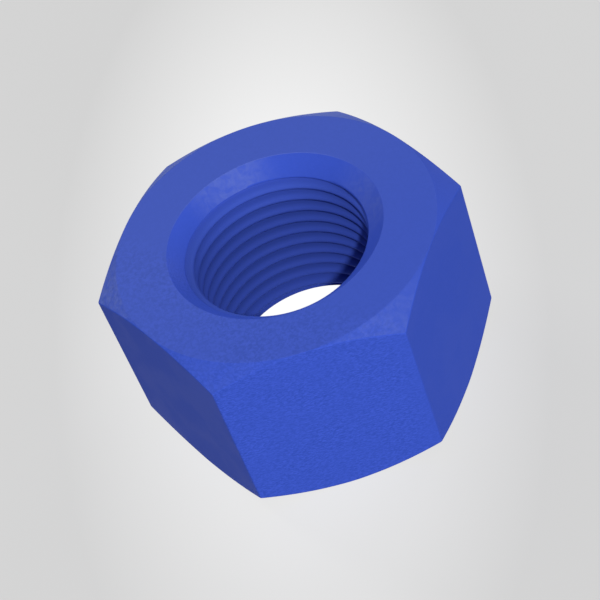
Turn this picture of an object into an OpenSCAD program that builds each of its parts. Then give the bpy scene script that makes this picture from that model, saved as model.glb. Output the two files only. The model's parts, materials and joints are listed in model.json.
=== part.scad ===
// Heavy hex nut for a large stud bolt: one solid piece, chamfered and countersunk at both ends.
// The origin is the centre of the lower bearing face and +Z runs up the bore.
// One flat faces +X, so the upright edges lie at 30, 90, 150 degrees and so on.
// Sizes are in millimetres and angles in degrees.

/* [Hexagon] */
// Width across two opposite flats
across_flats = 60; // [54:0.1:75]
// Height between the two bearing faces
nut_height = 37.4; // [20:0.1:60]
// Rounding along the six upright edges
edge_radius = 0.5; // [0.2:0.1:3]

/* [End chamfers] */
// How far inside the flats the rim of each bearing face lies
bearing_setback = 0.1; // [0.05:0.05:2]
// Slope of the chamfer cone away from the bearing face
chamfer_slope = 34.5; // [15:0.5:50]

/* [Thread] */
// Major diameter of the thread that the nut takes
thread_major_d = 36; // [28:0.1:42]
// Pitch of that thread
thread_pitch = 3; // [1.5:0.05:4.5]

/* [Countersinks] */
// How much wider than the thread's major diameter each countersink opens
countersink_margin = 4.5; // [0.5:0.1:8]
// Included angle of the countersink cone
countersink_angle = 90; // [60:1:120]

/* [Hidden] */

FLATS = 6;
HALF_STEP = 180 / FLATS;
COAT_BLUE = [0.22, 0.33, 0.77];
// How far a cutting or bounding shape runs past the face that it crosses
OVERRUN = 1;

// The upright edges are arcs tangent to two flats, so their centres lie on a smaller hexagon.
flat_distance = across_flats / 2;
edge_centre_r = (flat_distance - edge_radius) / cos(HALF_STEP);
corner_r = edge_centre_r + edge_radius;

// Each end chamfer is a cone that starts at the bearing face's rim and runs out past the corners.
bearing_r = flat_distance - bearing_setback;
chamfer_reach_r = corner_r + OVERRUN;
chamfer_drop = (chamfer_reach_r - bearing_r) * tan(chamfer_slope);

// A 60 degree thread form has its crests cut back, so the depth is five eighths of the sharp form.
sharp_thread_height = thread_pitch * cos(30);
thread_depth = 5 / 8 * sharp_thread_height;
thread_major_r = thread_major_d / 2;
thread_minor_r = thread_major_r - thread_depth;

// Each countersink runs from its rim in the bearing face down to the thread's crests.
countersink_rim_r = thread_major_r + countersink_margin / 2;
countersink_spread = tan(countersink_angle / 2);
countersink_depth = (countersink_rim_r - thread_minor_r) / countersink_spread;

// A unit vector in the plane of the hexagon
function heading(angle) = [cos(angle), sin(angle)];

// The two ends of the arc at one upright edge, where it meets its flats
function arc_ends(angle) = [
    for (turn = [-HALF_STEP, HALF_STEP])
        edge_centre_r * heading(angle) + edge_radius * heading(angle + turn)
];

// Outline across the flats: straight sides between the arc ends, and a round at each edge
module hexagon_outline() {
    edge_angles = [for (side = [0 : FLATS - 1]) HALF_STEP + side * 2 * HALF_STEP];
    polygon([for (angle = edge_angles) each arc_ends(angle)]);
    for (angle = edge_angles)
        translate(edge_centre_r * heading(angle))
            circle(r = edge_radius, $fn = 48);
}

// Turned envelope that cuts the curved chamfer arcs into the flats at both ends
module chamfer_envelope() {
    rotate_extrude($fn = 180)
        polygon([
            [0, 0],
            [bearing_r, 0],
            [chamfer_reach_r, chamfer_drop],
            [chamfer_reach_r, nut_height - chamfer_drop],
            [bearing_r, nut_height],
            [0, nut_height]
        ]);
}

// Everything that the bore takes away: the hole at the thread's crests and both countersinks
module threaded_bore() {
    mouth_r = countersink_rim_r + OVERRUN * countersink_spread;
    rotate_extrude($fn = 180)
        polygon([
            [0, -OVERRUN],
            [mouth_r, -OVERRUN],
            [thread_minor_r, countersink_depth],
            [thread_minor_r, nut_height - countersink_depth],
            [mouth_r, nut_height + OVERRUN],
            [0, nut_height + OVERRUN]
        ]);
}

// The nut: a hexagonal bar, turned at both ends and bored through
module hex_nut() {
    color(COAT_BLUE)
        difference() {
            intersection() {
                linear_extrude(height = nut_height)
                    hexagon_outline();
                chamfer_envelope();
            }
            threaded_bore();
        }
}

hex_nut();
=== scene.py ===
"""The looks of a heavy hex nut: a blue coated body with its real thread, on a pale floor in soft light.

Everything is in metres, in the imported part's own frame. The origin is the centre of the lower bearing
face, +Z runs up the bore and one flat faces +X. The body is one closed mesh that stands for the CAD
solid: it follows that solid's flats, chamfers and countersinks, and cuts the helical thread into the
bore that the solid leaves smooth.
"""

import json
import logging
import math
from dataclasses import dataclass, field
from enum import Enum

import bpy
import numpy as np
from mathutils import Matrix, Vector


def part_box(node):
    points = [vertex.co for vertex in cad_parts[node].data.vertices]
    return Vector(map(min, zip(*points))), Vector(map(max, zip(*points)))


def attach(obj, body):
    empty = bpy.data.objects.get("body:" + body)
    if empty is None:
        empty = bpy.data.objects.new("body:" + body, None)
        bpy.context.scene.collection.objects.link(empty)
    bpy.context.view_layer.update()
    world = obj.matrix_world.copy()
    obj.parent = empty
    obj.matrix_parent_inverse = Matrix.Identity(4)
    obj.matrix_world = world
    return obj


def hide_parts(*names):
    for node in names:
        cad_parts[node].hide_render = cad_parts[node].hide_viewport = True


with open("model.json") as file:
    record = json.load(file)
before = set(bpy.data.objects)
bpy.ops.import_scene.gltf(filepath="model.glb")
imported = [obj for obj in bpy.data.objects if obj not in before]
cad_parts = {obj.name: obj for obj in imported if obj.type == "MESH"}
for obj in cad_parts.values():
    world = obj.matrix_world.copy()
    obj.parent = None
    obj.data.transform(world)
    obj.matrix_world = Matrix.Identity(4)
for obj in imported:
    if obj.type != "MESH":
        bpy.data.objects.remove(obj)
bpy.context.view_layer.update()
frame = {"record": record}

CAD_NODE = "hex_nut"
BODY = "root"
MM = 0.001
FLATS = 6
HALF_SECTOR = math.pi / FLATS
FULL_TURN = 2 * math.pi
UP = Vector((0.0, 0.0, 1.0))
WHITE = (1.0, 1.0, 1.0, 1.0)
BLACK = (0.0, 0.0, 0.0, 1.0)
LOG = logging.getLogger("heavy_hex_nut")
Signal = float | tuple[float, ...] | bpy.types.NodeSocket


class CoatZone(Enum):
    """Where on the nut a face lies. The value is its place in the mesh's list of materials."""

    FACES = 0
    THREAD = 1


def nut_box() -> tuple[Vector, Vector]:
    """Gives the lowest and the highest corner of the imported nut's box, in metres."""
    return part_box(CAD_NODE)


def thread_crest_radius() -> float:
    """Reads the radius of the hole at the thread's crests, in metres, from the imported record."""
    mounts = {mount["name"]: mount for mount in frame["record"]["mounts"]}
    return mounts["thread"]["dims"]["r_mm"] * MM


def heading(azimuth: float, elevation: float = 0.0) -> Vector:
    """Turns degrees from +X round +Z, and degrees above the floor, into a unit vector."""
    a, e = math.radians(azimuth), math.radians(elevation)
    return Vector((math.cos(e) * math.cos(a), math.cos(e) * math.sin(a), math.sin(e)))


def rounded_corner(
    before: np.ndarray, corner: np.ndarray, after: np.ndarray, trim: np.ndarray, steps: int
) -> list[np.ndarray]:
    """Replaces a corner of many sections at once by a small curve tangent to both of its sides.

    Args:
        before: Points before the corner, one row of radius and height for each section.
        corner: The corners themselves.
        after: Points after the corner.
        trim: How much of each side the curve takes, in metres, one value for each section.
        steps: Number of straight steps along the curve.

    Returns:
        The curve's points, as steps + 1 arrays like the ones given.
    """
    to_before = before - corner
    to_after = after - corner
    start = corner + to_before / np.linalg.norm(to_before, axis=1, keepdims=True) * trim[:, None]
    end = corner + to_after / np.linalg.norm(to_after, axis=1, keepdims=True) * trim[:, None]
    points = []
    for share in np.linspace(0.0, 1.0, steps + 1):
        points.append((1 - share) ** 2 * start + 2 * share * (1 - share) * corner + share**2 * end)
    return points


@dataclass(frozen=True)
class HexPlan:
    """The nut seen from above: six flats that meet in small arcs.

    Attributes:
        flat_distance: Distance from the axis to a flat.
        edge_radius: Radius of the arc along each upright edge.
        columns_per_flat: Number of mesh columns across a flat.
        edge_columns: Number of mesh columns round an upright edge.
        holding: Place of the columns that keep the flats plain beside an edge, in half widths of the edge.
    """

    flat_distance: float
    edge_radius: float = 0.5 * MM
    columns_per_flat: int = 30
    edge_columns: int = 6
    holding: float = 1.3

    @property
    def edge_centre(self) -> float:
        """Distance from the axis to the centre of an upright edge's arc."""
        return (self.flat_distance - self.edge_radius) / math.cos(HALF_SECTOR)

    @property
    def edge_half_angle(self) -> float:
        """Half of the angle that an upright edge's arc takes up, seen from the axis."""
        sideways = self.edge_radius * math.sin(HALF_SECTOR)
        outwards = self.edge_centre + self.edge_radius * math.cos(HALF_SECTOR)
        return math.atan2(sideways, outwards)

    def column_angles(self) -> np.ndarray:
        """Places the mesh columns: close together round an upright edge, even across a flat.

        Returns:
            The angles in radians over one turn, in rising order.
        """
        half = self.edge_half_angle
        edge = np.linspace(-half, half, self.edge_columns + 1)
        holding = half * self.holding
        flat = np.linspace(0, 2 * HALF_SECTOR, self.columns_per_flat + 1)[1:-1]
        sector = np.concatenate([[-holding], edge, [holding], flat])
        turns = [sector + HALF_SECTOR + side * 2 * HALF_SECTOR for side in range(FLATS)]
        return np.concatenate(turns)

    def reach(self, angles: np.ndarray) -> np.ndarray:
        """Measures how far the outline lies from the axis.

        Args:
            angles: Angles in radians.

        Returns:
            One distance for each angle, in metres.
        """
        off_edge = np.abs((angles % (2 * HALF_SECTOR)) - HALF_SECTOR)
        on_flat = self.flat_distance / np.cos(HALF_SECTOR - off_edge)
        across = np.clip(self.edge_centre * np.sin(off_edge), 0, self.edge_radius)
        on_arc = self.edge_centre * np.cos(off_edge) + np.sqrt(self.edge_radius**2 - across**2)
        return np.where(off_edge < self.edge_half_angle, on_arc, on_flat)


@dataclass(frozen=True)
class EndForm:
    """One end of the nut in section: countersink rim, bearing face, chamfer, and the start of the flat.

    Attributes:
        height: Height of the nut.
        bearing_radius: Radius of the bearing face's rim, where the chamfer starts.
        chamfer_slope: Slope of the chamfer, in radians below the bearing face.
        rim_radius: Radius of the countersink at the bearing face.
        cone_slope: Slope of the countersink's wall, in radians below the bearing face.
        rim_break: Radius of the softened edge at the countersink's rim.
        bearing_break: Radius of the softened edge at the bearing face's rim.
        flat_break: Radius of the softened edge where the chamfer meets a flat.
        break_steps: Number of straight steps round each softened edge.
        holding: Distance from a softened edge to the mesh row that keeps the face beside it flat.
        crowding: Largest share of the chamfer that its two softened edges take.
        holding_crowding: Largest share of the plain chamfer between an edge and its holding row.
    """

    height: float
    bearing_radius: float
    chamfer_slope: float
    rim_radius: float
    cone_slope: float
    rim_break: float = 0.25 * MM
    bearing_break: float = 0.45 * MM
    flat_break: float = 0.35 * MM
    break_steps: int = 4
    holding: float = 0.12 * MM
    crowding: float = 0.9
    holding_crowding: float = 0.25

    @property
    def rim_trim(self) -> float:
        """How much of the countersink's wall the softened rim takes."""
        return self.rim_break * math.tan(self.cone_slope / 2)

    @property
    def cone_start(self) -> tuple[float, float]:
        """Radius and depth below the bearing face at which the countersink's plain wall starts."""
        inwards = self.rim_trim * math.cos(self.cone_slope)
        down = self.rim_trim * math.sin(self.cone_slope)
        return self.rim_radius - inwards, down

    def cone_radius(self, depth: np.ndarray) -> np.ndarray:
        """Gives the radius of the countersink's cone at each depth below the bearing face."""
        return self.rim_radius - depth / math.tan(self.cone_slope)

    def section(self, reach: np.ndarray) -> list[np.ndarray]:
        """Draws the upper end's section, from the countersink's wall out and down to the flat.

        Args:
            reach: Distance from the axis to the outline, one for each section.

        Returns:
            A list of rows; each holds radius and height for every section.
        """
        count = len(reach)

        def row(radius: np.ndarray | float, z: np.ndarray | float) -> np.ndarray:
            """Puts a radius and a height for each section side by side."""
            return np.stack([np.broadcast_to(radius, count), np.broadcast_to(z, count)], axis=1)

        start_radius, start_depth = self.cone_start
        drop = (reach - self.bearing_radius) * math.tan(self.chamfer_slope)
        wall = row(start_radius, self.height - start_depth)
        rim = row(self.rim_radius, self.height)
        bearing = row(self.bearing_radius, self.height)
        edge = row(reach, self.height - drop)
        middle = row(reach, self.height / 2)

        chamfer_length = np.linalg.norm(edge - bearing, axis=1)
        bearing_trim = np.full(count, self.bearing_break * math.tan(self.chamfer_slope / 2))
        flat_trim = np.full(count, self.flat_break * math.tan((math.pi / 2 - self.chamfer_slope) / 2))
        squeeze = np.minimum(1.0, self.crowding * chamfer_length / (bearing_trim + flat_trim))
        bearing_trim = bearing_trim * squeeze
        flat_trim = flat_trim * squeeze
        down_chamfer = (edge - bearing) / chamfer_length[:, None]
        spare = chamfer_length - bearing_trim - flat_trim
        chamfer_hold = np.minimum(self.holding, self.holding_crowding * spare)

        steps = self.break_steps
        rows = rounded_corner(wall, rim, bearing, np.full(count, self.rim_trim), steps)
        rows.append(row(self.rim_radius + self.rim_trim + self.holding, self.height))
        rows.append(bearing - np.stack([bearing_trim + self.holding, np.zeros(count)], axis=1))
        rows += rounded_corner(rim, bearing, edge, bearing_trim, steps)
        rows.append(bearing + down_chamfer * (bearing_trim + chamfer_hold)[:, None])
        rows.append(edge - down_chamfer * (flat_trim + chamfer_hold)[:, None])
        rows += rounded_corner(bearing, edge, middle, flat_trim, steps)
        rows.append(edge - np.stack([np.zeros(count), flat_trim + self.holding], axis=1))
        return rows


@dataclass(frozen=True)
class InternalThread:
    """A right-hand 60 degree thread cut into the bore.

    Attributes:
        crest_radius: Radius at the crests, which is the smooth hole's radius.
        pitch: Rise in one turn.
        start_angle: Angle at which a crest's middle lies in the plane of the lower bearing face.
        flank_angle: Angle between a flank and a plane square to the axis, in radians.
        depth_share: Depth of the groove, as a share of the sharp thread form's height.
        crest_flat: Width of the flat crest, as a share of the pitch.
        root_flat: Width of the flat root, as a share of the pitch.
        crest_softening: Half width of the rounding at a crest's corners, as a share of the pitch.
        root_softening: The same at a root's corners.
        flank_rows: Number of mesh rows along a flank between its softened corners.
    """

    crest_radius: float
    pitch: float = 3.0 * MM
    start_angle: float = math.radians(50.0)
    flank_angle: float = math.radians(30.0)
    depth_share: float = 5 / 8
    crest_flat: float = 0.28
    root_flat: float = 1 / 8
    crest_softening: float = 0.13
    root_softening: float = 0.055
    flank_rows: int = 3

    @property
    def depth(self) -> float:
        """Depth of the groove, from the crests to the roots."""
        return self.depth_share * self.pitch * math.cos(self.flank_angle)

    @property
    def flank_top(self) -> float:
        """Distance from a crest's middle to the top of its flank, in pitches."""
        return self.crest_flat / 2

    @property
    def flank_foot(self) -> float:
        """Distance from a crest's middle to the foot of its flank, in pitches."""
        return 0.5 - self.root_flat / 2

    def radius(self, share: np.ndarray) -> np.ndarray:
        """Gives the thread's radius.

        Args:
            share: Distances along the axis from the middle of a crest, in pitches.

        Returns:
            One radius for each of them.
        """
        off_crest = np.abs(share - np.round(share))

        def eased(past: np.ndarray, softening: float) -> np.ndarray:
            """A ramp that starts in a short curve instead of a corner."""
            inside = (past + softening) ** 2 / (4 * softening)
            return np.where(past < -softening, 0, np.where(past > softening, past, inside))

        climb = eased(off_crest - self.flank_top, self.crest_softening)
        climb -= eased(off_crest - self.flank_foot, self.root_softening)
        return self.crest_radius + self.depth * climb / (self.flank_foot - self.flank_top)

    def stations(self) -> np.ndarray:
        """Places the mesh rows of one pitch where the form bends.

        Returns:
            Shares of the pitch from 0 up to 1, without 1.
        """
        bend = np.array([-1, -1 / 3, 1 / 3, 1])
        crest_bend = self.flank_top + bend * self.crest_softening
        root_bend = self.flank_foot + bend * self.root_softening
        flank = np.linspace(crest_bend[-1], root_bend[0], self.flank_rows + 2)[1:-1]
        rising = np.concatenate([crest_bend, flank, root_bend])
        return np.concatenate([[0.0], rising, [0.5], 1.0 - rising[::-1]])


@dataclass
class NutMesh:
    """Collects the points and faces of the nut's closed surface.

    Attributes:
        points: Points in metres.
        faces: Faces as tuples of point numbers.
        zones: The zone of each face.
    """

    points: list[tuple[float, float, float]] = field(default_factory=list)
    faces: list[tuple[int, ...]] = field(default_factory=list)
    zones: list[CoatZone] = field(default_factory=list)

    def add_point(self, angle: float, radius: float, z: float) -> int:
        """Adds a point at an angle in radians, a radius and a height, and gives its number."""
        self.points.append((radius * math.cos(angle), radius * math.sin(angle), z))
        return len(self.points) - 1

    def add_ring(self, angles: np.ndarray, row: np.ndarray) -> list[int]:
        """Adds a point for each column, from its angle, radius and height, and gives their numbers."""
        return [self.add_point(a, r, z) for a, (r, z) in zip(angles, row)]

    def add_face(self, corners: tuple[int, ...], zone: CoatZone) -> None:
        """Adds a face, and drops the corners that fall together where a thread row ends.

        Args:
            corners: Point numbers in order.
            zone: Where the face lies.
        """
        kept = [c for i, c in enumerate(corners) if c != corners[i - 1]]
        if len(set(kept)) >= 3:
            self.faces.append(tuple(kept))
            self.zones.append(zone)

    def add_band(self, inner: list[int], outer: list[int]) -> None:
        """Joins two rings by a band of faces.

        Args:
            inner: The first ring.
            outer: The second ring.
        """
        count = len(inner)
        for i in range(count):
            n = (i + 1) % count
            self.add_face((inner[i], outer[i], outer[n], inner[n]), CoatZone.FACES)


@dataclass(frozen=True)
class Ramp:
    """A soft step from one result to another.

    Attributes:
        low: Value at which the step starts.
        high: Value at which it ends, which may be the smaller of the two.
        start: Result before the step.
        end: Result after it.
    """

    low: float
    high: float
    start: float = 0.0
    end: float = 1.0


class Wiring:
    """Adds shader nodes to one tree and joins them.

    Attributes:
        NOISE_ROUGHNESS: Strength of each finer layer of a noise, as a share of the one before.
        NUMBER_RESULTS: The vector operations that give a number.
    """

    NOISE_ROUGHNESS = 0.55
    NUMBER_RESULTS = ("DOT_PRODUCT", "LENGTH", "DISTANCE")

    def __init__(self, tree: bpy.types.NodeTree) -> None:
        """Keeps the nodes and links of the tree to fill."""
        self.nodes = tree.nodes
        self.links = tree.links

    def feed(self, socket: bpy.types.NodeSocket, value: Signal) -> None:
        """Sets an input to a number or joins it to another node.

        Args:
            socket: The input.
            value: A number, a tuple or an output socket.
        """
        if isinstance(value, bpy.types.NodeSocket):
            self.links.new(value, socket)
        else:
            socket.default_value = value

    def maths(self, operation: str, *values: Signal, clamp: bool = False) -> bpy.types.NodeSocket:
        """Adds a Math node.

        Args:
            operation: Its operation.
            *values: Its inputs.
            clamp: True to keep the result between 0 and 1.

        Returns:
            Its output.
        """
        node = self.nodes.new("ShaderNodeMath")
        node.operation = operation
        node.use_clamp = clamp
        for socket, value in zip(node.inputs, values):
            self.feed(socket, value)
        return node.outputs["Value"]

    def vector_maths(self, operation: str, *values: Signal) -> bpy.types.NodeSocket:
        """Adds a Vector Math node.

        Args:
            operation: Its operation.
            *values: Its inputs.

        Returns:
            Its output, a number or a vector.
        """
        node = self.nodes.new("ShaderNodeVectorMath")
        node.operation = operation
        for socket, value in zip(node.inputs, values):
            self.feed(socket, value)
        return node.outputs["Value" if operation in self.NUMBER_RESULTS else "Vector"]

    def along(self, vector: Signal, direction: Vector) -> bpy.types.NodeSocket:
        """Measures how far a vector reaches in a direction."""
        return self.vector_maths("DOT_PRODUCT", vector, tuple(direction))

    def ramp(self, value: Signal, ramp: Ramp) -> bpy.types.NodeSocket:
        """Adds a soft step.

        Args:
            value: What the step follows.
            ramp: Its ends and results.

        Returns:
            Its output.
        """
        node = self.nodes.new("ShaderNodeMapRange")
        node.interpolation_type = "SMOOTHSTEP"
        self.feed(node.inputs["Value"], value)
        ends = {"From Min": ramp.low, "From Max": ramp.high, "To Min": ramp.start, "To Max": ramp.end}
        for name, number in ends.items():
            node.inputs[name].default_value = number
        return node.outputs["Result"]

    def mix(self, share: Signal, first: Signal, second: Signal) -> bpy.types.NodeSocket:
        """Mixes two colours.

        Args:
            share: Share of the second colour.
            first: The colour that shows where the share is 0.
            second: The colour that shows where it is 1.

        Returns:
            The mixed colour.
        """
        node = self.nodes.new("ShaderNodeMix")
        node.data_type = "RGBA"
        for name, value in (("Factor", share), ("A", first), ("B", second)):
            self.feed(node.inputs[name], value)
        return node.outputs["Result"]

    def noise(
        self, place: Signal, scale: Signal, detail: float, distortion: float = 0.0
    ) -> bpy.types.NodeSocket:
        """Adds a noise texture.

        Args:
            place: Where it is looked up.
            scale: Its scale.
            detail: Its detail.
            distortion: How much it is stirred.

        Returns:
            Its value.
        """
        node = self.nodes.new("ShaderNodeTexNoise")
        self.feed(node.inputs["Vector"], place)
        self.feed(node.inputs["Scale"], scale)
        node.inputs["Detail"].default_value = detail
        node.inputs["Roughness"].default_value = self.NOISE_ROUGHNESS
        node.inputs["Distortion"].default_value = distortion
        return node.outputs["Fac"]

    def seen(self) -> bpy.types.NodeSocket:
        """Tells the rays that show a surface from those that only carry its light.

        Returns:
            1 for camera, glossy and transmission rays, and 0 for the others.
        """
        rays = self.nodes.new("ShaderNodeLightPath").outputs
        direct = self.maths("ADD", rays["Is Camera Ray"], rays["Is Glossy Ray"])
        return self.maths("ADD", direct, rays["Is Transmission Ray"], clamp=True)


def blank_material(name: str) -> bpy.types.Material:
    """Makes a material whose node tree is empty.

    Args:
        name: Its name.

    Returns:
        The material.
    """
    material = bpy.data.materials.new(name)
    material.use_nodes = True
    material.node_tree.nodes.clear()
    return material


@dataclass(frozen=True)
class CoatGrain:
    """Settings of the fine grain that a sprayed coat has.

    Attributes:
        grain_size: Size of one grain, in metres.
        stretch: How much longer a grain is round the nut than up it.
        patch_size: Size of the soft patches in which the grain is weaker, in metres.
        relief: Height of the grain, in metres.
    """

    grain_size: float = 0.66 * MM
    stretch: float = 2.5
    patch_size: float = 9.0 * MM
    relief: float = 0.03 * MM


@dataclass(frozen=True)
class CoatFinish:
    """A satin blue coat sprayed on steel.

    Attributes:
        name: Name of the material.
        shade: Colour in the grain's hollows, linear.
        light: Colour on the grain's tops, linear.
        painted_sheen_colour: Pale colour mixed into the coat as painted sheen and highlights, linear.
        painted_sheen_share: How much of that colour shows where the painted sheen's strength is 1.
        roughness: Roughness between the patches.
        patch_roughness: Roughness in the patches.
        sheen: Specular level on the shader.
        painted_root_shade: How much painted shade darkens the coat at the thread's roots.
        painted_shade_span: Distances from the axis between which that painted shade comes in.
        painted_shade_reach: Distances from the nut's mid-height between which it comes in, so that it is
            strongest deep in the bore.
        grain: The grain's settings.
    """

    name: str
    shade: tuple[float, float, float]
    light: tuple[float, float, float]
    # Pale colour mixed in as painted sheen and highlights, and how much of it shows.
    painted_sheen_colour: tuple[float, float, float] = (0.80, 0.90, 0.60)
    painted_sheen_share: float = 0.028
    roughness: float = 0.44
    patch_roughness: float = 0.50
    sheen: float = 0.014
    painted_root_shade: float = 0.0
    painted_shade_span: tuple[float, float] = (0.0, 1.0)
    painted_shade_reach: tuple[float, float] = (0.0, 1.0)
    grain: CoatGrain = CoatGrain()


FACE_COAT = CoatFinish(
    name="coat_on_faces",
    shade=(0.035, 0.079, 0.475),
    light=(0.055, 0.111, 0.650),
)
# The thread's coat is darker on the whole than the faces' coat: its colours hold painted shade for the dim
# inside of the bore, and it paints more shade at the roots.
SHADED_THREAD_COAT = CoatFinish(
    name="coat_in_thread_painted_shade",
    shade=(0.048, 0.095, 0.505),
    light=(0.056, 0.107, 0.545),
    painted_sheen_share=0.0,
    painted_root_shade=0.26,
    painted_shade_span=(16.5 * MM, 17.7 * MM),
    painted_shade_reach=(17.5 * MM, 9.0 * MM),
    grain=CoatGrain(grain_size=0.4 * MM, stretch=3.0, patch_size=6.0 * MM, relief=0.008 * MM),
)


@dataclass(frozen=True)
class PaintedHighlightSpot:
    """A round spot of painted highlight and sheen that fades outwards.

    Attributes:
        middle: Its middle.
        reach: Radius at which it has faded.
        brightness: Strength of the painted highlight at its middle.
    """

    middle: tuple[float, float, float]
    reach: float
    thickness: float


class SprayAndSheenGroup:
    """Builds the shader node group that both coats share.

    The group turns a place on the nut, and the way that the surface faces there, into the fine grain that
    the spray gun left on the side nearest to it, soft patches, and a pale painted sheen with painted
    highlights on the upper faces, the far chamfers and the upper countersink. A step by facing follows the
    cosine of the angle between the surface's normal and a direction.

    Attributes:
        NAME: The group's name.
        GRAIN_STEP, PATCH_STEP, STREAK_STEP: Contrast of the grain, the soft patches and the streaks.
        PATCH_THINNING: How much weaker the grain is in the patches.
        GUN_HEADING: Direction from the nut to the spray gun, as an angle from +X in degrees.
        GUN_STEP: How the grain comes in towards the gun, by distance from the axis.
        GRAINY_FLAT: Direction that the grainy flat faces, in degrees.
        FLAT_STEP, UPPER_STEP: How the grain comes in on that flat and on the upper faces, by facing.
        FAINT: Strength of the grain on the sides turned away from the gun.
        BEARING_STEP: How the painted sheen comes in on the upper bearing face, by facing.
            TOP_SHEEN_HEADING, TOP_SHEEN_STEP: Direction in which the painted sheen on top grows, and its
                strength along that.
            CHAMFER_STEPS, CONE_STEPS: How the painted sheen and highlights come in on the upper chamfer and
                countersink, by facing.
            CORNER_HEADING, CORNER_STEP: Direction of the far chamfers that get painted sheen, and its
                strength along that.
        STREAK_SIZE: Size of the streaks that mottle the painted highlights, in metres.
        SPOT_CORE: Share of a spot's radius within which it doesn't fade.
        CONE_HIGHLIGHTS, CHAMFER_HIGHLIGHTS: The spots of painted highlight on the upper countersink and on
            the upper chamfer.
    """

    NAME = "spray_coat_and_painted_sheen"
    GRAIN_STEP = Ramp(0.3, 0.7)
    PATCH_STEP = Ramp(0.38, 0.62)
    PATCH_THINNING = 0.35
    GUN_HEADING = 78.0
    GUN_STEP = Ramp(6 * MM, 15 * MM)
    GRAINY_FLAT = 120.0
    FLAT_STEP = Ramp(0.6, 0.9)
    UPPER_STEP = Ramp(0.5, 0.8, 0.0, 0.65)
    FAINT = 0.12
    # From here on: where the pale painted sheen and highlights go, on the upper bearing face, the far
    # chamfers and the upper countersink.
    BEARING_STEP = Ramp(0.86, 0.97)
    TOP_SHEEN_HEADING = 330.0
    TOP_SHEEN_STEP = Ramp(-30 * MM, 20 * MM, 0.6, 1.15)
    CHAMFER_STEPS = (Ramp(0.76, 0.80), Ramp(0.97, 0.86))
    CORNER_HEADING = 300.0
    CORNER_STEP = Ramp(5 * MM, 20 * MM, 0.0, 2.8)
    CONE_STEPS = (Ramp(0.80, 0.74), Ramp(0.5, 0.65))
    STREAK_SIZE = 1.6 * MM
    STREAK_STEP = Ramp(0.3, 0.7, 0.7, 1.9)
    SPOT_CORE = 0.25
    # Spots of painted highlight and sheen on the upper countersink, then on the upper chamfer.
    CONE_HIGHLIGHTS = (
        PaintedHighlightSpot((14.4 * MM, -12.7 * MM, 36.2 * MM), 11.0 * MM, 1.2),
        PaintedHighlightSpot((-14.5 * MM, -12.0 * MM, 36.0 * MM), 11.0 * MM, 0.7),
    )
    CHAMFER_HIGHLIGHTS = (
        PaintedHighlightSpot((-27.5 * MM, 15.9 * MM, 36.2 * MM), 15.0 * MM, 0.7),
        PaintedHighlightSpot((0.0, 32.0 * MM, 36.2 * MM), 12.0 * MM, 0.2),
        PaintedHighlightSpot((28.0 * MM, 16.2 * MM, 36.0 * MM), 16.0 * MM, 1.5),
    )

    def build(self) -> bpy.types.NodeTree:
        """Makes the group once.

        Returns:
            The node group.
        """
        found = bpy.data.node_groups.get(self.NAME)
        if found is not None:
            return found
        tree = bpy.data.node_groups.new(self.NAME, "ShaderNodeTree")
        for name in ("Place", "Facing"):
            tree.interface.new_socket(name, in_out="INPUT", socket_type="NodeSocketVector")
        for name in ("Grain Scale", "Stretch", "Patch Scale"):
            tree.interface.new_socket(name, in_out="INPUT", socket_type="NodeSocketFloat")
        for name in ("Grain", "Patch", "Height", "Painted Sheen"):
            tree.interface.new_socket(name, in_out="OUTPUT", socket_type="NodeSocketFloat")
        wiring = Wiring(tree)
        source = tree.nodes.new("NodeGroupInput").outputs
        result = tree.nodes.new("NodeGroupOutput").inputs

        stretch_axes = tree.nodes.new("ShaderNodeCombineXYZ")
        for axis, stretch in (("X", 1.0), ("Y", 1.0), ("Z", source["Stretch"])):
            wiring.feed(stretch_axes.inputs[axis], stretch)
        stretched = wiring.vector_maths("MULTIPLY", source["Place"], stretch_axes.outputs["Vector"])
        grain = wiring.noise(stretched, source["Grain Scale"], detail=2.5, distortion=0.6)
        patches = wiring.noise(source["Place"], source["Patch Scale"], detail=3.0)
        patch = wiring.ramp(patches, self.PATCH_STEP)
        strength = self._strength(wiring, source, patch)

        centred = wiring.maths("SUBTRACT", wiring.ramp(grain, self.GRAIN_STEP), 0.5)
        wiring.feed(result["Grain"], wiring.maths("MULTIPLY_ADD", centred, strength, 0.5))
        wiring.feed(result["Patch"], patch)
        wiring.feed(result["Height"], wiring.maths("MULTIPLY", grain, strength))
        wiring.feed(result["Painted Sheen"], self._painted_sheen(wiring, source))
        return tree

    def _strength(
        self, wiring: Wiring, source: bpy.types.NodeOutputs, patch: bpy.types.NodeSocket
    ) -> bpy.types.NodeSocket:
        """Works out how strong the grain is.

        Args:
            wiring: The group's wiring.
            source: The group's inputs.
            patch: The soft patches.

        Returns:
            The strength, between 0 and 1.
        """
        near_gun = wiring.along(source["Place"], heading(self.GUN_HEADING))
        on_flat = wiring.ramp(wiring.along(source["Facing"], heading(self.GRAINY_FLAT)), self.FLAT_STEP)
        on_upper = wiring.ramp(wiring.along(source["Facing"], UP), self.UPPER_STEP)
        open_side = wiring.maths("MAXIMUM", on_flat, on_upper)
        reached = wiring.maths("MULTIPLY", open_side, wiring.ramp(near_gun, self.GUN_STEP))
        thinned = wiring.maths("MULTIPLY_ADD", patch, -self.PATCH_THINNING, 1.0)
        return wiring.maths("MAXIMUM", wiring.maths("MULTIPLY", reached, thinned), self.FAINT)

    def _painted_sheen(self, wiring: Wiring, source: bpy.types.NodeOutputs) -> bpy.types.NodeSocket:
        """Works out how strong the painted sheen and highlights are.

        Args:
            wiring: The group's wiring.
            source: The group's inputs.

        Returns:
            Their strength, about 1 on most of the upper bearing face.
        """
        place = source["Place"]
        upwards = wiring.along(source["Facing"], UP)
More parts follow.
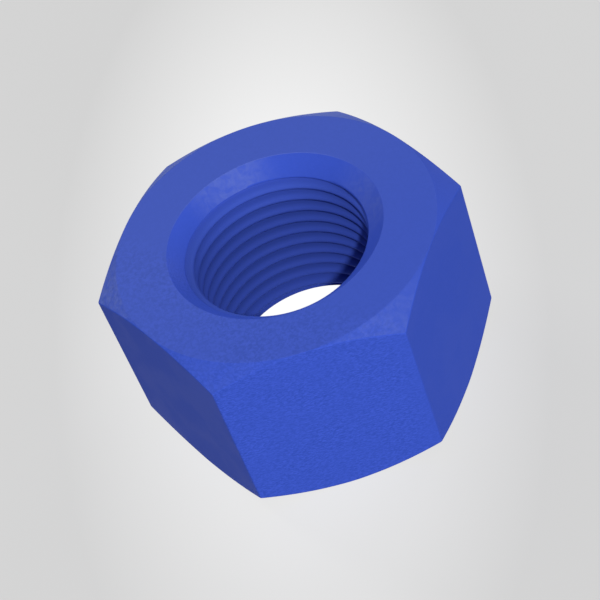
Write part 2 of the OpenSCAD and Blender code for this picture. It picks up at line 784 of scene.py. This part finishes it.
        # Painted sheen on the upper bearing face, stronger towards one side.
        toward_top_sheen = wiring.ramp(wiring.along(place, heading(self.TOP_SHEEN_HEADING)), self.TOP_SHEEN_STEP)
        on_top = wiring.maths("MULTIPLY", wiring.ramp(upwards, self.BEARING_STEP), toward_top_sheen)
        streaks = wiring.noise(place, 1 / self.STREAK_SIZE, detail=2.0, distortion=0.8)
        streaks = wiring.ramp(streaks, self.STREAK_STEP)
        chamfer_spots = wiring.maths("MULTIPLY", self._spots(wiring, place, self.CHAMFER_HIGHLIGHTS), streaks)
        corners = wiring.ramp(wiring.along(place, heading(self.CORNER_HEADING)), self.CORNER_STEP)
        chamfer_side = wiring.maths("MULTIPLY", *(wiring.ramp(upwards, step) for step in self.CHAMFER_STEPS))
        on_chamfer = wiring.maths("MULTIPLY", chamfer_side, wiring.maths("ADD", corners, chamfer_spots))
        in_cone = wiring.maths("MULTIPLY", self._spots(wiring, place, self.CONE_HIGHLIGHTS), streaks)
        for step in self.CONE_STEPS:
            in_cone = wiring.maths("MULTIPLY", in_cone, wiring.ramp(upwards, step))
        return wiring.maths("ADD", wiring.maths("ADD", on_top, on_chamfer), in_cone)

    def _spots(
        self, wiring: Wiring, place: bpy.types.NodeSocket, spots: tuple[PaintedHighlightSpot, ...]
    ) -> bpy.types.NodeSocket:
        """Adds up spots of dry spray.

        Args:
            wiring: The group's wiring.
            place: The place on the nut.
            spots: The spots.

        Returns:
            The strength of all the spots together.
        """
        total: Signal = 0.0
        for spot in spots:
            offset = wiring.vector_maths("DISTANCE", place, spot.middle)
            fading = Ramp(self.SPOT_CORE * spot.reach, spot.reach, spot.thickness, 0.0)
            total = wiring.maths("ADD", wiring.ramp(offset, fading), total)
        return total


@dataclass(frozen=True)
class CoatMaterial:
    """Builds one coat's material from its finish and the shared spray group.

    Attributes:
        finish: Colours, roughness and grain.
    """

    finish: CoatFinish

    def build(self) -> bpy.types.Material:
        """Makes the material.

        Returns:
            The material.
        """
        finish = self.finish
        material = blank_material(finish.name)
        wiring = Wiring(material.node_tree)

        place = wiring.nodes.new("ShaderNodeTexCoord").outputs
        spray = wiring.nodes.new("ShaderNodeGroup")
        spray.node_tree = SprayAndSheenGroup().build()
        spray_inputs = {
            "Place": place["Object"],
            "Facing": place["Normal"],
            "Grain Scale": 1 / finish.grain.grain_size,
            "Stretch": finish.grain.stretch,
            "Patch Scale": 1 / finish.grain.patch_size,
        }
        for name, value in spray_inputs.items():
            wiring.feed(spray.inputs[name], value)

        base = wiring.mix(spray.outputs["Grain"], (*finish.shade, 1.0), (*finish.light, 1.0))
        # Mixes a pale painted sheen and painted highlights into the coat's colour.
        if finish.painted_sheen_share > 0:
            sheen_mix = wiring.maths("MULTIPLY", spray.outputs["Painted Sheen"], finish.painted_sheen_share)
            base = wiring.mix(sheen_mix, base, (*finish.painted_sheen_colour, 1.0))
        # Painted shade at the thread's roots, deep in the bore.
        if finish.painted_root_shade > 0:
            base = self._paint_root_shade(wiring, place["Object"], base)

        bump = wiring.nodes.new("ShaderNodeBump")
        bump.inputs["Distance"].default_value = finish.grain.relief
        wiring.feed(bump.inputs["Height"], spray.outputs["Height"])

        shader = wiring.nodes.new("ShaderNodeBsdfPrincipled")
        shader.inputs["Specular IOR Level"].default_value = finish.sheen
        patchy = Ramp(0.0, 1.0, finish.roughness, finish.patch_roughness)
        wiring.feed(shader.inputs["Base Color"], base)
        wiring.feed(shader.inputs["Roughness"], wiring.ramp(spray.outputs["Patch"], patchy))
        wiring.feed(shader.inputs["Normal"], bump.outputs["Normal"])
        output = wiring.nodes.new("ShaderNodeOutputMaterial")
        wiring.feed(output.inputs["Surface"], shader.outputs["BSDF"])
        return material

    def _paint_root_shade(
        self, wiring: Wiring, place: bpy.types.NodeSocket, base: bpy.types.NodeSocket
    ) -> bpy.types.NodeSocket:
        """Paints shade into the coat towards the thread's roots, most of it deep in the bore.

        Args:
            wiring: The material's wiring.
            place: The place on the nut.
            base: The coat's colour.

        Returns:
            The darkened colour.
        """
        finish = self.finish
        distance = wiring.vector_maths("LENGTH", wiring.vector_maths("MULTIPLY", place, (1.0, 1.0, 0.0)))
        near_root = wiring.ramp(distance, Ramp(*finish.painted_shade_span, 0.0, finish.painted_root_shade))
        low, high = nut_box()
        above_middle = wiring.maths("SUBTRACT", wiring.along(place, UP), (low.z + high.z) / 2)
        deep_inside = wiring.ramp(wiring.maths("ABSOLUTE", above_middle), Ramp(*finish.painted_shade_reach))
        return wiring.mix(wiring.maths("MULTIPLY", near_root, deep_inside), base, BLACK)


@dataclass
class HexNut:
    """The nut: one closed body with flats, chamfers, countersinks and a thread.

    Attributes:
        across_flats: Width across two opposite flats.
        height: Height of the nut.
        crest_radius: Radius of the hole at the thread's crests.
        bearing_setback: How far inside the flats the bearing face's rim lies.
        chamfer_slope: Slope of the end chamfers, in radians.
        countersink_rim: Radius of the countersinks at the bearing faces.
        countersink_slope: Slope of the countersinks' walls, in radians.
        merge_gap: Height within which a thread row is merged into the edge of the bore.
        turns_below: Number of turns that the mesh rows start below the nut.
        turns_above: Number of turns that they go on above it.
        run_out_halvings: Number of halvings that find where the thread runs out in a countersink.
        thread_slack: Distance behind the cone within which a row still counts as thread.
    """

    across_flats: float
    height: float
    crest_radius: float
    bearing_setback: float = 0.1 * MM
    chamfer_slope: float = math.radians(34.5)
    countersink_rim: float = 20.25 * MM
    countersink_slope: float = math.radians(45)
    merge_gap: float = 0.01 * MM
    turns_below: int = 3
    turns_above: int = 2
    run_out_halvings: int = 24
    thread_slack: float = 1e-7

    @property
    def plan(self) -> HexPlan:
        """The outline across the flats."""
        return HexPlan(flat_distance=self.across_flats / 2)

    @property
    def end(self) -> EndForm:
        """The form of each end."""
        return EndForm(
            height=self.height,
            bearing_radius=self.across_flats / 2 - self.bearing_setback,
            chamfer_slope=self.chamfer_slope,
            rim_radius=self.countersink_rim,
            cone_slope=self.countersink_slope,
        )

    @property
    def thread(self) -> InternalThread:
        """The thread in the bore."""
        return InternalThread(crest_radius=self.crest_radius)

    def build(self) -> bpy.types.Object:
        """Builds and dresses the nut.

        Returns:
            The finished object.
        """
        mesh = NutMesh()
        angles = self.plan.column_angles()
        upper_rim, lower_rim = self._add_outside(mesh, angles)
        self._add_bore(mesh, angles, upper_rim, lower_rim)
        data = bpy.data.meshes.new("threaded_nut_body")
        data.from_pydata(mesh.points, [], mesh.faces)
        for finish in (FACE_COAT, SHADED_THREAD_COAT):
            data.materials.append(CoatMaterial(finish).build())
        data.polygons.foreach_set("material_index", [zone.value for zone in mesh.zones])
        data.polygons.foreach_set("use_smooth", [True] * len(mesh.faces))
        data.validate()
        data.update()
        nut = bpy.data.objects.new("threaded_nut_body", data)
        bpy.context.scene.collection.objects.link(nut)
        return nut

    def _add_outside(self, mesh: NutMesh, angles: np.ndarray) -> tuple[list[int], list[int]]:
        """Adds everything outside the countersinks' walls.

        Args:
            mesh: The mesh to add to.
            angles: The columns' angles.

        Returns:
            The rings at the edge of the upper and of the lower countersink.
        """
        rows = self.end.section(self.plan.reach(angles))
        rings = [mesh.add_ring(angles, row) for row in rows]
        for row in reversed(rows):
            mirrored = np.stack([row[:, 0], self.height - row[:, 1]], axis=1)
            rings.append(mesh.add_ring(angles, mirrored))
        for inner, outer in zip(rings, rings[1:]):
            mesh.add_band(inner, outer)
        return rings[0], rings[-1]

    def _cone_radius(self, z: np.ndarray) -> np.ndarray:
        """Gives the radius of the nearer countersink's cone at each height, also past the crests."""
        return self.end.cone_radius(np.minimum(z, self.height - z))

    def _bore_rows(self, angle: float) -> tuple[np.ndarray, np.ndarray, np.ndarray]:
        """Places the bore's mesh rows in one column, so that they run along the helix.

        Args:
            angle: The column's angle, in radians.

        Returns:
            The rows' heights, their radii, and True for each that lies on the thread.
        """
        thread = self.thread
        stations = thread.stations()
        turns = np.arange(-self.turns_below, math.ceil(self.height / thread.pitch) + self.turns_above)
        share = (turns[:, None] + stations[None, :]).ravel()
        rise = (angle - thread.start_angle) / FULL_TURN

        def excess(at: np.ndarray) -> np.ndarray:
            """How far the thread's groove reaches past the countersink's cone."""
            return thread.radius(at - rise) - self._cone_radius(at * thread.pitch)

        place = share + rise
        gap = excess(place)
        crossings = np.flatnonzero((gap[:-1] > 0) != (gap[1:] > 0))
        for low in crossings:
            a, b = place[low], place[low + 1]
            for _ in range(self.run_out_halvings):
                middle = (a + b) / 2
                if (excess(np.array([middle]))[0] > 0) == (gap[low] > 0):
                    a = middle
                else:
                    b = middle
            nearer = low if abs(place[low] - a) < abs(place[low + 1] - a) else low + 1
            place[nearer] = a
        z = place * thread.pitch
        on_thread = thread.radius(place - rise)
        on_cone = self._cone_radius(z)
        return z, np.maximum(on_thread, on_cone), on_thread >= on_cone - self.thread_slack

    def _add_bore(self, mesh: NutMesh, angles: np.ndarray, upper: list[int], lower: list[int]) -> None:
        """Adds the threaded bore and both countersinks' walls.

        Args:
            mesh: The mesh to add to.
            angles: The columns' angles.
            upper: The ring at the edge of the upper countersink.
            lower: The ring at the edge of the lower countersink.
        """
        _, start_depth = self.end.cone_start
        bottom = start_depth + self.merge_gap
        top = self.height - bottom
        columns: list[list[int]] = []
        threaded: list[np.ndarray] = []
        for i, angle in enumerate(angles):
            z, radius, on_thread = self._bore_rows(angle)
            column = []
            for height, reach in zip(z, radius):
                if height <= bottom:
                    column.append(lower[i])
                elif height >= top:
                    column.append(upper[i])
                else:
                    column.append(mesh.add_point(angle, reach, height))
            columns.append(column)
            threaded.append(on_thread & (z > bottom) & (z < top))
        per_turn = len(self.thread.stations())
        columns.append(columns[0][per_turn:] + [upper[0]] * per_turn)
        threaded.append(np.concatenate([threaded[0][per_turn:], np.zeros(per_turn, bool)]))
        for i in range(len(angles)):
            near, far = columns[i], columns[i + 1]
            in_thread = threaded[i] & threaded[i + 1]
            for j in range(len(near) - 1):
                zone = CoatZone.THREAD if in_thread[j] and in_thread[j + 1] else CoatZone.FACES
                mesh.add_face((near[j], near[j + 1], far[j + 1], far[j]), zone)


@dataclass(frozen=True)
class FloorFinish:
    """A pale floor that glows softly round the nut, so that it shows as a studio sweep.

    Attributes:
        name: Name of the material.
        glow_place: Middle of the glow on the floor.
        glow_turn: Angle of the glow's short axis from +X, in radians.
        glow_short: Distance along the short axis at which the glow has faded.
        glow_long: The same along the long axis.
        fade: How much darker the faded floor is, as a share of white on the screen.
        reflect: Share of the light on the floor that it throws back, which carries the shadow.
        lit_level: What the floor throws back in full light.
        bore_spot: Radius of the glowing white spot under the bore, which shows through it.
        bore_light: Strength of the light that this glowing spot gives off into the bore, where it lights the
            thread from below.
        screen_gamma: Exponent that turns a share of white on the screen into light.
    """

    name: str = "pale_floor"
    glow_place: tuple[float, float] = (0.0168, -0.0261)
    glow_turn: float = math.radians(23.5)
    glow_short: float = 0.0512
    glow_long: float = 0.1218
    fade: float = 0.1765
    reflect: float = 0.12
    lit_level: float = 0.083
    bore_spot: float = 0.021
    bore_light: float = 0.3
    screen_gamma: float = 2.25


@dataclass(frozen=True)
class FloorMaterial:
    """Builds the floor's material.

    Attributes:
        finish: The floor's settings.
    """

    finish: FloorFinish

    def build(self) -> bpy.types.Material:
        """Makes the material.

        Returns:
            The material.
        """
        finish = self.finish
        material = blank_material(finish.name)
        wiring = Wiring(material.node_tree)

        place = wiring.nodes.new("ShaderNodeTexCoord").outputs["Object"]
        glow_space = wiring.nodes.new("ShaderNodeMapping")
        glow_space.vector_type = "TEXTURE"
        glow_space.inputs["Location"].default_value = (*finish.glow_place, 0.0)
        glow_space.inputs["Rotation"].default_value = (0.0, 0.0, finish.glow_turn)
        glow_space.inputs["Scale"].default_value = (finish.glow_short, finish.glow_long, 1.0)
        wiring.feed(glow_space.inputs["Vector"], place)
        glow_distance = wiring.vector_maths("LENGTH", glow_space.outputs["Vector"])
        faded = wiring.maths("MINIMUM", glow_distance, 1.0)
        screen = wiring.maths("MULTIPLY_ADD", faded, -finish.fade, 1.0)
        level = wiring.maths("POWER", screen, finish.screen_gamma)
        own_light = wiring.maths("SUBTRACT", level, finish.lit_level)

        seen = wiring.seen()
        shown = wiring.maths("MULTIPLY", own_light, seen)
        # The spot under the bore glows: it shows white and gives light to the bore's thread from below.
        under_bore = wiring.maths("LESS_THAN", wiring.vector_maths("LENGTH", place), finish.bore_spot)
        spot_level = wiring.ramp(seen, Ramp(0.0, 1.0, finish.bore_light, 1.0))
        bore_light = wiring.maths("MULTIPLY", under_bore, spot_level)

        emission = wiring.nodes.new("ShaderNodeEmission")
        emission.inputs["Color"].default_value = WHITE
        wiring.feed(emission.inputs["Strength"], wiring.maths("MAXIMUM", shown, bore_light))
        diffuse = wiring.nodes.new("ShaderNodeBsdfDiffuse")
        diffuse.inputs["Color"].default_value = (finish.reflect, finish.reflect, finish.reflect, 1.0)
        both = wiring.nodes.new("ShaderNodeAddShader")
        wiring.feed(both.inputs[0], emission.outputs["Emission"])
        wiring.feed(both.inputs[1], diffuse.outputs["BSDF"])
        output = wiring.nodes.new("ShaderNodeOutputMaterial")
        wiring.feed(output.inputs["Surface"], both.outputs["Shader"])
        return material


@dataclass(frozen=True)
class Lamp:
    """A round soft light that faces the nut.

    Attributes:
        name: Its name.
        azimuth: Where it stands, in degrees from +X round +Z.
        elevation: Its height, in degrees above the floor.
        level: What it adds to a white surface that faces it, where 1 is white.
        size: Diameter.
        distance: Distance from the nut.
    """

    name: str
    azimuth: float
    elevation: float
    level: float
    size: float
    distance: float = 1.2

    def build(self, target: Vector) -> None:
        """Adds the lamp.

        Args:
            target: The point that it faces.
        """
        data = bpy.data.lights.new(self.name, "AREA")
        data.shape = "DISK"
        data.size = self.size
        # A disk lamp of this power lights a white surface that faces it to the level given.
        data.energy = self.level * (math.pi * self.distance) ** 2
        lamp = bpy.data.objects.new(self.name, data)
        direction = heading(self.azimuth, self.elevation)
        lamp.location = target + direction * self.distance
        lamp.rotation_mode = "QUATERNION"
        lamp.rotation_quaternion = direction.to_track_quat("Z", "Y")
        bpy.context.scene.collection.objects.link(lamp)


@dataclass(frozen=True)
class CameraStand:
    """The camera: a long lens that looks down at the nut's middle and is rolled a little.

    Attributes:
        azimuth: Where it stands, in degrees from +X round +Z.
        elevation: Its height, in degrees above the floor.
        distance: Distance from the nut's middle, in widths across the flats.
        roll: Turn about its own axis, in degrees, clockwise from behind it.
        lens: Focal length in millimetres.
        sensor: Width of the sensor in millimetres.
        nearest: Distance at which the view starts.
        farthest: Distance at which it ends.
    """

    azimuth: float = 124.96
    elevation: float = 45.97
    distance: float = 5.797
    roll: float = 21.32
    lens: float = 111.52
    sensor: float = 36.0
    nearest: float = 0.01
    farthest: float = 20.0

    def build(self, target: Vector, across_flats: float) -> None:
        """Adds the camera and makes it the scene's.

        Args:
            target: The point that it looks at.
            across_flats: The nut's width across the flats.
        """
        data = bpy.data.cameras.new("camera")
        data.lens = self.lens
        data.sensor_width = self.sensor
        data.clip_start = self.nearest
        data.clip_end = self.farthest
        camera = bpy.data.objects.new("camera", data)
        back = heading(self.azimuth, self.elevation)
        upright = back.to_track_quat("Z", "Y").to_matrix()
        rolled = upright @ Matrix.Rotation(math.radians(-self.roll), 3, "Z")
        stand = Matrix.Translation(target + back * self.distance * across_flats)
        camera.matrix_world = stand @ rolled.to_4x4()
        bpy.context.scene.collection.objects.link(camera)
        bpy.context.scene.camera = camera


@dataclass
class Studio:
    """Floor, lamps, surroundings and camera.

    Attributes:
        key: The main lamp.
        front_fill: A low, wide lamp in front of the nut.
        left_back: A wide lamp behind the nut, on the photo's left.
        right_back: A low lamp behind the nut, on the photo's right.
        surround: Level of the light from all round.
        shown: Level of the surroundings that the camera and reflections see.
        floor_radius: Radius of the floor.
        floor_sides: Number of straight sides that the floor's edge has.
        floor_finish: The floor's settings.
        camera: The camera's stand.
    """

    key: Lamp = Lamp("key_lamp", azimuth=130.0, elevation=45.0, level=0.49, size=0.055)
    front_fill: Lamp = Lamp("front_fill_lamp", azimuth=131.0, elevation=12.0, level=0.47, size=0.4)
    left_back: Lamp = Lamp("left_back_lamp", azimuth=335.0, elevation=25.0, level=0.39, size=0.4)
    right_back: Lamp = Lamp("right_back_lamp", azimuth=255.0, elevation=10.0, level=0.30, size=0.3)
    surround: float = 0.20
    shown: float = 0.66
    floor_radius: float = 6.0
    floor_sides: int = 96
    floor_finish: FloorFinish = FloorFinish()
    camera: CameraStand = CameraStand()

    def build(self, target: Vector, across_flats: float) -> None:
        """Sets up the studio.

        Args:
            target: The nut's middle.
            across_flats: The nut's width across the flats.
        """
        self._build_floor()
        for lamp in (self.key, self.front_fill, self.left_back, self.right_back):
            lamp.build(target)
            LOG.info("lamp %s at azimuth %.0f, elevation %.0f", lamp.name, lamp.azimuth, lamp.elevation)
        self._build_surroundings()
        self.camera.build(target, across_flats)
        bpy.context.scene.view_settings.view_transform = "Standard"

    def _build_floor(self) -> None:
        """Adds the floor."""
        angles = [FULL_TURN * i / self.floor_sides for i in range(self.floor_sides)]
        ring = [(self.floor_radius * math.cos(a), self.floor_radius * math.sin(a), 0.0) for a in angles]
        data = bpy.data.meshes.new("floor")
        data.from_pydata(ring, [], [tuple(range(self.floor_sides))])
        data.materials.append(FloorMaterial(self.floor_finish).build())
        floor = bpy.data.objects.new("floor", data)
        bpy.context.scene.collection.objects.link(floor)

    def _build_surroundings(self) -> None:
        """Lights the scene from all round, and shows the camera and reflections a pale backdrop."""
        world = bpy.data.worlds.new("studio")
        world.use_nodes = True
        world.node_tree.nodes.clear()
        wiring = Wiring(world.node_tree)
        background = wiring.nodes.new("ShaderNodeBackground")
        background.inputs["Color"].default_value = WHITE
        level = wiring.ramp(wiring.seen(), Ramp(0.0, 1.0, self.surround, self.shown))
        wiring.feed(background.inputs["Strength"], level)
        output = wiring.nodes.new("ShaderNodeOutputWorld")
        wiring.feed(output.inputs["Surface"], background.outputs["Background"])
        bpy.context.scene.world = world


def main() -> None:
    """Builds the nut, then the studio round it."""
    logging.basicConfig(level=logging.INFO, format="%(name)s: %(message)s")
    low, high = nut_box()
    nut = HexNut(
        across_flats=high.x - low.x,
        height=high.z - low.z,
        crest_radius=thread_crest_radius(),
    )
    piece = nut.build()
    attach(piece, BODY)
    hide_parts(CAD_NODE)
    LOG.info("piece %s: %d points, %d faces", piece.name, len(piece.data.vertices), len(piece.data.polygons))
    Studio().build(target=Vector((0.0, 0.0, nut.height / 2)), across_flats=nut.across_flats)


if __name__ == "__main__":
    main()
